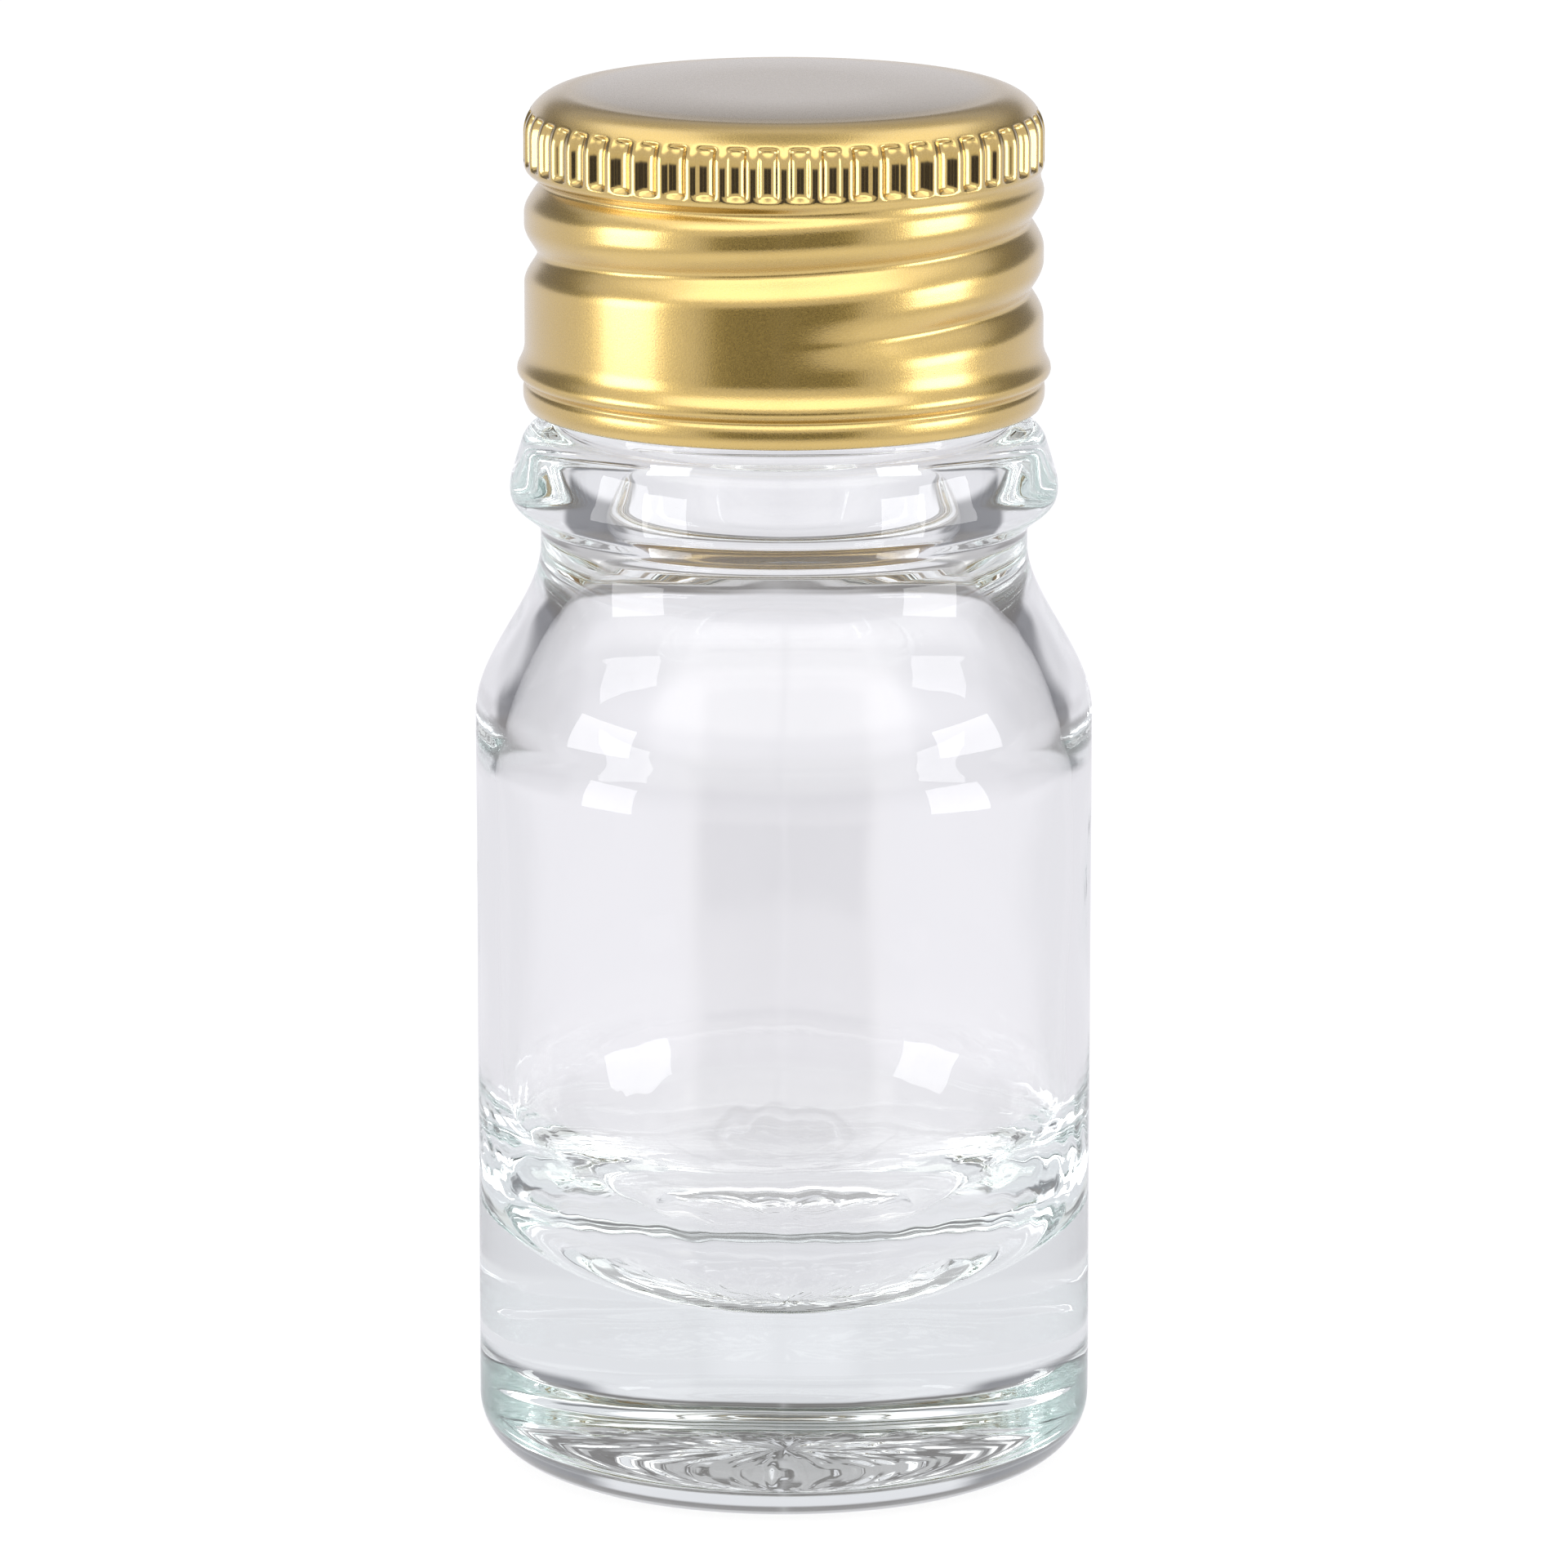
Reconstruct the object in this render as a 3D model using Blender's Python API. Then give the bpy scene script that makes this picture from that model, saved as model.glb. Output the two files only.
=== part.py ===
"""A small glass sample vial with a rolled aluminium screw cap.

Metres, +Z up. The origin is the centre of the plane that the vial stands on, and every piece is
turned about the Z axis. Angles run counter-clockwise from +X, seen from above, so the front of the
vial is at -90 degrees. The thread is right-handed: it rises as its angle grows.
"""

import math

import bpy
import numpy as np

MM = 0.001

# Glass body
BODY_RADIUS = 11.0 * MM
HEEL_HEIGHT = 2.15 * MM
HEEL_WIDTH = 2.2 * MM
PUSH_UP_RADIUS = 7.6 * MM
PUSH_UP_HEIGHT = 0.9 * MM
SHOULDER_BOTTOM = 27.2 * MM
SHOULDER_TOP = 33.3 * MM
NECK_RADIUS = 8.65 * MM

# Transfer ring below the cap
RING_UNDERSIDE = 34.1 * MM
RING_WIDEST_HEIGHT = 35.2 * MM
RING_RADIUS = 9.75 * MM
RING_TAPER_TOP = 37.05 * MM
RING_TAPER_RADIUS = 9.15 * MM
RING_TOP = 37.6 * MM
RING_ROUNDING = 0.3 * MM
RING_CROWN = 0.1 * MM
RING_CROWN_HALF_HEIGHT = 0.5 * MM
RING_UNDERCUT = 0.35 * MM

# Threaded finish
FINISH_RADIUS = 8.0 * MM
LIP_TOP = 47.45 * MM
LIP_ROUNDING = 0.5 * MM
THREAD_ROWS_TOP = 46.75 * MM
THREAD_ROWS_BOTTOM = 41.6 * MM
THREAD_ROWS = 14
THREAD_PITCH = 2.5 * MM
THREAD_HEIGHT = 0.68 * MM
THREAD_HALF_WIDTH = 0.65 * MM
THREAD_FIRST_ANGLE = math.radians(-135)
THREAD_LAST_ANGLE = math.radians(370)
THREAD_RUN_OUT = math.radians(35)

# Inside of the glass
BORE_RADIUS = 6.0 * MM
BORE_BOTTOM = 36.2 * MM
CAVITY_RADIUS = 10.2 * MM
CAVITY_SHOULDER = 25.0 * MM
FLOOR_HEIGHT = 6.1 * MM
FLOOR_FLAT_RADIUS = 0.5 * MM
FLOOR_BOWL_HEIGHT = 8.0 * MM

# Cap
CAP_TOP = 49.65 * MM
CAP_WALL = 0.2 * MM
CAP_RADIUS = 9.18 * MM
CAP_CORNER = 1.6 * MM
KNURL_COUNT = 52
KNURL_TOP = 48.75 * MM
KNURL_BOTTOM = 46.85 * MM
KNURL_BLEND = 0.25 * MM
KNURL_DEPTH = 0.28 * MM
GROOVE_HEIGHT_AT_ZERO = 42.48 * MM
GROOVE_DEPTH = 0.55 * MM
GROOVE_HALF_WIDTH = 1.05 * MM
GROOVE_FIRST_ANGLE = math.radians(-95)
GROOVE_LAST_ANGLE = math.radians(660)
GROOVE_RUN_OUT = math.radians(50)
GROOVE_TOP_LIMIT = 46.9 * MM
GROOVE_TOP_FADE = 0.5 * MM
GROOVE_ROWS_BOTTOM = 40.9 * MM
GROOVE_ROWS = 13
BEAD_TOP = 40.3 * MM
BEAD_HEIGHT = 39.62 * MM
BEAD_RADIUS = 9.45 * MM
BEAD_FLARE_HEIGHT = 40.07 * MM
CREASE_HEIGHT = 39.2 * MM
CREASE_RADIUS = 9.12 * MM
SKIRT_RADIUS = 9.24 * MM
SKIRT_TOP = 39.0 * MM
SKIRT_EDGE_TOP = 38.65 * MM
SKIRT_BOTTOM = 38.3 * MM
SKIRT_EDGE_RADIUS = 9.1 * MM

# Liner in two layers
LINER_RADIUS = 8.0 * MM
FITTING_GAP = 0.3 * MM
FACING_THICKNESS = 0.15 * MM
LAYER_GAP = 0.1 * MM

GLASS_SEGMENTS = 48
CAP_SEGMENTS = 2 * KNURL_COUNT
LINER_SEGMENTS = 48
PUSH_UP_STEPS = 4
SHARP_ANGLE = math.radians(35)


def ease(share):
    """A smooth step from 0 to 1: three times the share squared, less twice its cube."""
    share = np.clip(share, 0.0, 1.0)
    return share * share * (3.0 - 2.0 * share)


def bump(distance, half_width):
    """A raised-cosine ridge of height 1 about distance 0, which ends at half_width."""
    share = np.clip(np.abs(distance) / half_width, 0.0, 1.0)
    return 0.5 * (1.0 + np.cos(math.pi * share))


def helix_ridge(angles, heights, height_at_zero, half_width, first, last, run_out):
    """Share of full depth, from 0 to 1, of a helical ridge at each angle and height.

    The helix is at height_at_zero at angle 0 and rises by THREAD_PITCH each turn. It lives between
    the angles first and last, and fades over run_out at both ends.
    """
    share = np.zeros(np.broadcast(angles, heights).shape)
    for turn in range(-1, 3):
        unwound = angles + 2.0 * math.pi * turn
        centre = height_at_zero + THREAD_PITCH * unwound / (2.0 * math.pi)
        fade = ease((unwound - first) / run_out) * ease((last - unwound) / run_out)
        share = np.maximum(share, fade * bump(heights - centre, half_width))
    return share


def arc(centre, radii, start, end, steps):
    """Points on an elliptical arc, as (radius, height), from start to end in degrees."""
    turn = np.radians(np.linspace(start, end, steps + 1))
    return np.column_stack(
        (centre[0] + radii[0] * np.cos(turn), centre[1] + radii[1] * np.sin(turn))
    )


def smooth_neck(wide, narrow, low, high, steps):
    """Points on an S-shaped shoulder that narrows from wide at low to narrow at high."""
    heights = np.linspace(low, high, steps + 1)
    radii = wide + (narrow - wide) * ease((heights - low) / (high - low))
    return np.column_stack((radii, heights))


def principled(name, colour, roughness, metallic=0.0, transmission=0.0):
    """A plain Principled material."""
    material = bpy.data.materials.new(name)
    material.use_nodes = True
    shader = material.node_tree.nodes["Principled BSDF"]
    shader.inputs["Base Color"].default_value = (*colour, 1.0)
    shader.inputs["Roughness"].default_value = roughness
    shader.inputs["Metallic"].default_value = metallic
    shader.inputs["Transmission Weight"].default_value = transmission
    return material


def turned_object(name, radii, heights, origin_height, material):
    """One closed object from rows of rings, whose first and last rows are points on the axis.

    radii and heights hold one row for each ring and one column for each step round the axis. The
    rows run down the outer side and up the inner side, which turns every face outwards.
    """
    rows, segments = radii.shape
    angles = np.linspace(0.0, 2.0 * math.pi, segments, endpoint=False)
    rings = np.stack(
        (radii * np.cos(angles), radii * np.sin(angles), heights - origin_height), axis=2
    )
    first_pole = (0.0, 0.0, heights[0, 0] - origin_height)
    last_pole = (0.0, 0.0, heights[-1, 0] - origin_height)
    vertices = [first_pole, *map(tuple, rings[1:-1].reshape(-1, 3)), last_pole]
    last_index = len(vertices) - 1

    def index(row, segment):
        return 1 + (row - 1) * segments + segment % segments

    faces = [(0, index(1, s), index(1, s + 1)) for s in range(segments)]
    for row in range(1, rows - 2):
        for s in range(segments):
            faces.append(
                (index(row, s), index(row + 1, s), index(row + 1, s + 1), index(row, s + 1))
            )
    faces += [(index(rows - 2, s), last_index, index(rows - 2, s + 1)) for s in range(segments)]

    mesh = bpy.data.meshes.new(name)
    mesh.from_pydata(vertices, [], faces)
    mesh.shade_smooth()
    mesh.set_sharp_from_angle(angle=SHARP_ANGLE)
    mesh.materials.append(material)
    piece = bpy.data.objects.new(name, mesh)
    piece.location = (0.0, 0.0, origin_height)
    bpy.context.scene.collection.objects.link(piece)
    return piece


def rings_of(profile, segments):
    """Rows of equal radius and height round the axis, for a profile of (radius, height) points."""
    radii = np.repeat(profile[:, :1], segments, axis=1)
    heights = np.repeat(profile[:, 1:], segments, axis=1)
    return radii, heights


def glass_inner_profile():
    """From the floor's centre up the bowl, the wall and the shoulder to the mouth."""
    bowl_width = CAVITY_RADIUS - FLOOR_FLAT_RADIUS
    bowl_top = FLOOR_HEIGHT + FLOOR_BOWL_HEIGHT
    bowl = arc(
        (FLOOR_FLAT_RADIUS, bowl_top), (bowl_width, FLOOR_BOWL_HEIGHT), 270, 360, 10
    )
    shoulder = smooth_neck(CAVITY_RADIUS, BORE_RADIUS, CAVITY_SHOULDER, BORE_BOTTOM, 9)
    mouth = arc(
        (BORE_RADIUS + LIP_ROUNDING, LIP_TOP - LIP_ROUNDING),
        (LIP_ROUNDING, LIP_ROUNDING),
        180,
        90,
        3,
    )
    floor_centre = [(0.0, FLOOR_HEIGHT)]
    return np.vstack((floor_centre, bowl, shoulder, mouth))


def glass_outer_profile():
    """From the lip down the finish, the transfer ring, the shoulder and the heel to the base."""
    lip = arc(
        (FINISH_RADIUS - LIP_ROUNDING, LIP_TOP - LIP_ROUNDING),
        (LIP_ROUNDING, LIP_ROUNDING),
        90,
        0,
        3,
    )
    finish_heights = np.linspace(THREAD_ROWS_TOP, THREAD_ROWS_BOTTOM, THREAD_ROWS)
    finish = np.column_stack((np.full(THREAD_ROWS, FINISH_RADIUS), finish_heights))
    ring = [
        (FINISH_RADIUS, RING_TOP + RING_ROUNDING),
        (FINISH_RADIUS + RING_ROUNDING, RING_TOP),
        (RING_TAPER_RADIUS - RING_ROUNDING, RING_TOP),
        (RING_TAPER_RADIUS, RING_TAPER_TOP),
        (RING_RADIUS - RING_CROWN, RING_WIDEST_HEIGHT + RING_CROWN_HALF_HEIGHT),
        (RING_RADIUS, RING_WIDEST_HEIGHT),
        (RING_RADIUS - RING_ROUNDING, RING_WIDEST_HEIGHT - RING_CROWN_HALF_HEIGHT),
        (NECK_RADIUS + RING_UNDERCUT, RING_UNDERSIDE),
    ]
    shoulder = smooth_neck(BODY_RADIUS, NECK_RADIUS, SHOULDER_BOTTOM, SHOULDER_TOP, 9)[::-1]
    heel = arc(
        (BODY_RADIUS - HEEL_WIDTH, HEEL_HEIGHT), (HEEL_WIDTH, HEEL_HEIGHT), 0, -90, 7
    )
    radius_shares = np.linspace(1.0, 0.0, PUSH_UP_STEPS + 1)
    push_up = np.column_stack(
        (PUSH_UP_RADIUS * radius_shares, PUSH_UP_HEIGHT * (1.0 - radius_shares**2))
    )
    return np.vstack((lip, finish, ring, shoulder, heel, push_up))


def make_glass_bottle():
    """The moulded bottle: one body with its cavity, thread, transfer ring and pushed-up base."""
    profile = np.vstack((glass_inner_profile(), glass_outer_profile()))
    radii, heights = rings_of(profile, GLASS_SEGMENTS)
    angles = np.linspace(0.0, 2.0 * math.pi, GLASS_SEGMENTS, endpoint=False)
    on_finish = np.isclose(radii, FINISH_RADIUS) & (heights < LIP_TOP - LIP_ROUNDING)
    ridge = helix_ridge(
        angles,
        heights,
        GROOVE_HEIGHT_AT_ZERO + 0.5 * THREAD_PITCH,
        THREAD_HALF_WIDTH,
        THREAD_FIRST_ANGLE,
        THREAD_LAST_ANGLE,
        THREAD_RUN_OUT,
    )
    radii = radii + on_finish * THREAD_HEIGHT * ridge
    glass = principled("clear_glass", (0.93, 0.95, 0.95), 0.02, transmission=1.0)
    return turned_object("glass_bottle", radii, heights, 0.0, glass)


def cap_side_profile(inset):
    """The cap's side from its bead down to its lower edge, moved inwards by inset."""
    points = [
        (CAP_RADIUS, BEAD_TOP),
        (0.5 * (CAP_RADIUS + BEAD_RADIUS), BEAD_FLARE_HEIGHT),
        (BEAD_RADIUS, BEAD_HEIGHT),
        (CREASE_RADIUS, CREASE_HEIGHT),
        (SKIRT_RADIUS, SKIRT_TOP),
        (SKIRT_RADIUS, SKIRT_EDGE_TOP),
        (SKIRT_EDGE_RADIUS, SKIRT_BOTTOM),
    ]
    return np.array([(radius - inset, height) for radius, height in points])


def make_cap_shell():
    """The drawn aluminium shell: flat top, knurl, rolled thread groove, bead and skirt."""
    corner = arc(
        (CAP_RADIUS - CAP_CORNER, CAP_TOP - CAP_CORNER), (CAP_CORNER, CAP_CORNER), 90, 0, 4
    )
    knurl = [(CAP_RADIUS, KNURL_BOTTOM + KNURL_BLEND)]
    groove_heights = np.linspace(KNURL_BOTTOM, GROOVE_ROWS_BOTTOM, GROOVE_ROWS)
    groove = np.column_stack((np.full(GROOVE_ROWS, CAP_RADIUS), groove_heights))
    outer = np.vstack(([(0.0, CAP_TOP)], corner, knurl, groove, cap_side_profile(0.0)))

    ceiling = CAP_TOP - CAP_WALL
    inner_radius = CAP_RADIUS - CAP_WALL
    inner_groove = np.column_stack((np.full(GROOVE_ROWS, inner_radius), groove_heights[::-1]))
    knurl_inner_radius = inner_radius - KNURL_DEPTH
    corner_start = CAP_RADIUS - CAP_CORNER
    inner_corner = arc(
        (corner_start, CAP_TOP - CAP_CORNER),
        (knurl_inner_radius - corner_start, CAP_CORNER - CAP_WALL),
        0,
        90,
        3,
    )
    inner = np.vstack(
        (
            cap_side_profile(CAP_WALL)[::-1],
            inner_groove,
            [(knurl_inner_radius, KNURL_BOTTOM + KNURL_BLEND)],
            inner_corner,
            [(0.0, ceiling)],
        )
    )

    radii, heights = rings_of(np.vstack((outer, inner)), CAP_SEGMENTS)
    angles = np.linspace(0.0, 2.0 * math.pi, CAP_SEGMENTS, endpoint=False)
    outer_side = np.arange(len(radii))[:, None] < len(outer)
    in_knurl = outer_side & (heights < KNURL_TOP) & (heights > KNURL_BOTTOM)
    flute = np.arange(CAP_SEGMENTS) % 2 == 1
    in_groove = (heights > BEAD_TOP) & (radii > knurl_inner_radius)
    groove_share = helix_ridge(
        angles,
        heights,
        GROOVE_HEIGHT_AT_ZERO,
        GROOVE_HALF_WIDTH,
        GROOVE_FIRST_ANGLE,
        GROOVE_LAST_ANGLE,
        GROOVE_RUN_OUT,
    )
    groove_share = groove_share * ease((GROOVE_TOP_LIMIT - heights) / GROOVE_TOP_FADE)
    radii = radii - in_knurl * flute * KNURL_DEPTH - in_groove * groove_share * GROOVE_DEPTH
    gold = principled("gold_lacquered_aluminium", (0.62, 0.46, 0.17), 0.3, metallic=1.0)
    return turned_object("cap_shell", radii, heights, SKIRT_BOTTOM, gold)


def make_disc(name, bottom, top, material):
    """A round liner layer with slightly rounded rims."""
    rim = 0.2 * (top - bottom)
    profile = np.array(
        [
            (0.0, top),
            (LINER_RADIUS - rim, top),
            (LINER_RADIUS, top - rim),
            (LINER_RADIUS, bottom + rim),
            (LINER_RADIUS - rim, bottom),
            (0.0, bottom),
        ]
    )
    radii, heights = rings_of(profile, LINER_SEGMENTS)
    return turned_object(name, radii, heights, bottom, material)


def make_liner():
    """The facing that seals on the lip, and the foam that presses it down."""
    facing_bottom = LIP_TOP + FITTING_GAP
    facing_top = facing_bottom + FACING_THICKNESS
    foam_bottom = facing_top + LAYER_GAP
    foam_top = CAP_TOP - CAP_WALL - FITTING_GAP
    film = principled("liner_film", (0.82, 0.82, 0.80), 0.3)
    foam = principled("liner_foam", (0.9, 0.9, 0.88), 0.85)
    make_disc("liner_facing", facing_bottom, facing_top, film)
    make_disc("liner_foam", foam_bottom, foam_top, foam)


def main():
    """Clears the scene and makes every piece of the vial."""
    for existing in list(bpy.data.objects):
        bpy.data.objects.remove(existing)
    make_glass_bottle()
    make_cap_shell()
    make_liner()


main()
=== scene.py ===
"""Finished looks for a small glass sample vial with a rolled gold aluminium screw cap.

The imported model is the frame, and every piece here stands for one of its nodes. Each piece is a
closed surface round the Z axis, worked out on a grid: its rows follow a profile of radius and
height, its columns go round the axis, and thread, flutes and the unevenness of moulded glass are
added to the whole grid at once. Angles run counter-clockwise from +X, seen from above, so the
front, at -Y, is at -90 degrees. Sizes in the classes are millimetres and angles are degrees.
"""

import logging
import math
from dataclasses import dataclass
from enum import Enum
from typing import Protocol

import bpy
import numpy as np
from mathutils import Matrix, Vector


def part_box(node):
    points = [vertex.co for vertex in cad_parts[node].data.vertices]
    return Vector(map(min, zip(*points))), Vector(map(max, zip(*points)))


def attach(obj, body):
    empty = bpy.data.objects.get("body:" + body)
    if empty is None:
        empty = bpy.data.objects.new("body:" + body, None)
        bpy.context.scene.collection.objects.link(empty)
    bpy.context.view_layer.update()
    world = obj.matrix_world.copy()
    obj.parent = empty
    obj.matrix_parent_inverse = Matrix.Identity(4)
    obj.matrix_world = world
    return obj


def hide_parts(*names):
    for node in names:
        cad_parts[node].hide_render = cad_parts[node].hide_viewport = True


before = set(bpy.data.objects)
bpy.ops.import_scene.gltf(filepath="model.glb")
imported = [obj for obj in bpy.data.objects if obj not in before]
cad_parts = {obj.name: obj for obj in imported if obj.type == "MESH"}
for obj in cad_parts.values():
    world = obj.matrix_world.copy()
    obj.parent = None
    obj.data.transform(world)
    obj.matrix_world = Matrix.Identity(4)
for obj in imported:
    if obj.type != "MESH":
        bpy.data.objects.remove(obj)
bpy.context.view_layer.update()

MM = 0.001
LOG = logging.getLogger("sample_vial")

WAVE_COUNT = 12
STEEPEST_SLOPE = 1.4

# Sockets of the Mix node: its factor, its two numbers and its two colours, and the colour it gives.
MIX_FACTOR = 0
MIX_NUMBERS = (2, 3)
MIX_COLOURS = (6, 7)
MIX_COLOUR_RESULT = 2

Colour = tuple[float, float, float]
Point = tuple[float, float]


# ---------------------------------------------------------------- shapes


def ease(share: np.ndarray) -> np.ndarray:
    """A smooth step: three times the share squared less twice its cube.

    Args:
        share: How far along the step, clipped to 0 and 1.

    Returns:
        The eased share, from 0 to 1.
    """
    share = np.clip(share, 0.0, 1.0)
    return share * share * (3.0 - 2.0 * share)


def arc(centre: Point, radii: Point, start: float, end: float, steps: int) -> np.ndarray:
    """Points on an ellipse: the centre plus the radii times cosine and sine of an even turn.

    Args:
        centre: Radius and height of the ellipse's centre.
        radii: Its half width and half height.
        start: First angle in degrees, from the outward direction.
        end: Last angle in degrees.
        steps: How many equal steps lie between them.

    Returns:
        One (radius, height) row for each point, both ends included.
    """
    turn = np.radians(np.linspace(start, end, steps + 1))
    return np.column_stack(
        (centre[0] + radii[0] * np.cos(turn), centre[1] + radii[1] * np.sin(turn))
    )


def line(start: Point, end: Point, steps: int) -> np.ndarray:
    """Evenly spaced points on a straight stretch of a profile.

    Args:
        start: Radius and height of the first point.
        end: Radius and height of the last point.
        steps: How many equal steps lie between them.

    Returns:
        One (radius, height) row for each point, both ends included.
    """
    share = np.linspace(0.0, 1.0, steps + 1)[:, None]
    return np.array(start) + share * (np.array(end) - np.array(start))


def s_curve(start: Point, end: Point, steps: int) -> np.ndarray:
    """An S-shaped stretch: the height goes evenly and the radius follows the eased share.

    Args:
        start: Radius and height of the first point.
        end: Radius and height of the last point.
        steps: How many equal steps lie between them.

    Returns:
        One (radius, height) row for each point, both ends included.
    """
    share = np.linspace(0.0, 1.0, steps + 1)
    radii = start[0] + (end[0] - start[0]) * ease(share)
    heights = start[1] + (end[1] - start[1]) * share
    return np.column_stack((radii, heights))


def rounded(corners: list[tuple[float, float, float]], spacing: float) -> np.ndarray:
    """A path through corners, each softened by a quadratic curve.

    A corner's curve starts and ends its rounding length away from it, or at half of the shorter
    neighbouring side. A point on the curve is the start times (1-t) squared, plus the corner times
    2t(1-t), plus the end times t squared.

    Args:
        corners: Radius, height and rounding length of each corner. The first and last are kept.
        spacing: The longest step between neighbouring points.

    Returns:
        One (radius, height) row for each point, with no point repeated.
    """
    places = np.array([corner[:2] for corner in corners])
    parts = [places[:1]]
    for before, here, after, corner in zip(places, places[1:], places[2:], corners[1:]):
        back = before - here
        forth = after - here
        reach = min(corner[2], 0.5 * np.linalg.norm(back), 0.5 * np.linalg.norm(forth))
        start = here + back * reach / np.linalg.norm(back)
        end = here + forth * reach / np.linalg.norm(forth)
        steps = max(2, math.ceil(2.0 * reach / spacing))
        t = np.linspace(0.0, 1.0, steps + 1)[:, None]
        parts.append((1 - t) ** 2 * start + 2 * t * (1 - t) * here + t**2 * end)
    parts.append(places[-1:])
    return respaced(np.vstack(parts), spacing)


def respaced(path: np.ndarray, spacing: float) -> np.ndarray:
    """The same path with extra points, so that no straight stretch is longer than the spacing.

    Args:
        path: One (radius, height) row for each point.
        spacing: The longest step to leave.

    Returns:
        The path's own points and the added ones, in order, with no point repeated.
    """
    lengths = np.linalg.norm(np.diff(path, axis=0), axis=1)
    path = path[np.concatenate(([True], lengths > 1e-6))]
    lengths = np.linalg.norm(np.diff(path, axis=0), axis=1)
    along = np.concatenate(([0.0], np.cumsum(lengths)))
    steps = np.maximum(1, np.ceil(lengths / spacing - 1e-9)).astype(int)
    owner = np.repeat(np.arange(len(steps)), steps)
    within = np.arange(len(owner)) - np.repeat(np.cumsum(steps) - steps, steps)
    stations = along[owner] + lengths[owner] * within / steps[owner]
    stations = np.append(stations, along[-1])
    return np.column_stack(
        (np.interp(stations, along, path[:, 0]), np.interp(stations, along, path[:, 1]))
    )


@dataclass(frozen=True)
class Helix:
    """A right-handed screw line round the axis, which fades in and out at its two ends."""

    height_at_zero: float
    pitch: float
    first: float
    last: float
    run_out: float

    def nearest(self, angles: np.ndarray, heights: np.ndarray) -> tuple[np.ndarray, np.ndarray]:
        """Height above the nearest turn of the line, and how fully the line is there.

        On turn k the line is at its height at zero plus the pitch times (angle / 360 + k). The
        fade is the eased distance from each end over the run-out, multiplied.

        Args:
            angles: Degrees from +X, one for each column.
            heights: Millimetres, one for each grid point.

        Returns:
            The signed height above the line, and the fade from 0 to 1, for each grid point.
        """
        turn = np.round((heights - self.height_at_zero) / self.pitch - angles / 360.0)
        unwound = angles + 360.0 * turn
        centre = self.height_at_zero + self.pitch * unwound / 360.0
        fade = ease((unwound - self.first) / self.run_out)
        fade = fade * ease((self.last - unwound) / self.run_out)
        return heights - centre, fade


@dataclass
class Turning:
    """A grid of radii and heights round the axis, ready to become a closed mesh."""

    radii: np.ndarray
    heights: np.ndarray

    @classmethod
    def of_profile(cls, profile: np.ndarray, columns: int) -> "Turning":
        """Carries a profile round the axis.

        Args:
            profile: (radius, height) rows. The first and the last lie on the axis.
            columns: How many steps go round.

        Returns:
            The grid, one row for each point of the profile.
        """
        radii = np.repeat(profile[:, :1], columns, axis=1)
        heights = np.repeat(profile[:, 1:], columns, axis=1)
        return cls(radii, heights)

    @property
    def angles(self) -> np.ndarray:
        """Degrees from +X of each column."""
        return np.arange(self.radii.shape[1]) * 360.0 / self.radii.shape[1]

    def to_object(self, name: str, shares: dict[str, np.ndarray] | None = None) -> bpy.types.Object:
        """Makes the mesh: a point is radius times cosine, radius times sine, and height.

        The first and last rows close to single points. Rows that climb the outside and go down the
        inside turn every face outwards.

        Args:
            name: The piece's name.
            shares: Named values from 0 to 1 for each grid point, kept as point attributes.

        Returns:
            The new object, at the origin.
        """
        rows, columns = self.radii.shape
        turn = np.radians(self.angles)
        rings = np.stack(
            (self.radii * np.cos(turn), self.radii * np.sin(turn), self.heights), axis=2
        )
        first = [[0.0, 0.0, self.heights[0, 0]]]
        last = [[0.0, 0.0, self.heights[-1, 0]]]
        points = np.vstack((first, rings[1:-1].reshape(-1, 3), last)) * MM

        number = 1 + np.arange((rows - 2) * columns).reshape(rows - 2, columns)
        beside = np.roll(number, -1, axis=1)
        quads = np.stack((number[:-1], beside[:-1], beside[1:], number[1:]), axis=2)
        end = len(points) - 1
        first_fan = np.column_stack((np.zeros(columns, int), beside[0], number[0]))
        last_fan = np.column_stack((np.full(columns, end), number[-1], beside[-1]))
        faces = first_fan.tolist() + quads.reshape(-1, 4).tolist() + last_fan.tolist()

        mesh = bpy.data.meshes.new(name)
        mesh.from_pydata(points.tolist(), [], faces)
        mesh.shade_smooth()
        for title, share in (shares or {}).items():
            values = np.concatenate((share[0, :1], share[1:-1].ravel(), share[-1, :1]))
            attribute = mesh.attributes.new(title, "FLOAT", "POINT")
            attribute.data.foreach_set("value", values.astype(np.float32))
        piece = bpy.data.objects.new(name, mesh)
        bpy.context.scene.collection.objects.link(piece)
        return piece


@dataclass(frozen=True)
class Waves:
    """One set of waves in moulded glass: their height, how fast they run, their seed and fineness."""

    height: float
    rate: float
    seed: int
    finest: int = 12

    def at(self, angles: np.ndarray, along: np.ndarray) -> np.ndarray:
        """The waves at each grid point, mostly between plus and minus their height.

        They are twice the mean of twelve waves. Each is the sine of a whole number times the
        angle, plus a slope times the rate times the other coordinate, plus a phase, so they close
        round the axis.

        Args:
            angles: Degrees from +X, one for each column.
            along: The other coordinate in millimetres, one for each grid point.

        Returns:
            The height of the waves, in millimetres.
        """
        draw = np.random.default_rng(self.seed)
        total = np.zeros(np.broadcast(angles, along).shape)
        for _ in range(WAVE_COUNT):
            round_axis = draw.integers(1, self.finest)
            slope = draw.uniform(-STEEPEST_SLOPE, STEEPEST_SLOPE)
            phase = draw.uniform(0.0, 2.0 * math.pi)
            total += np.sin(round_axis * np.radians(angles) + slope * (self.rate * along) + phase)
        return total / WAVE_COUNT * 2.0 * self.height


# ---------------------------------------------------------------- finishes


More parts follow.
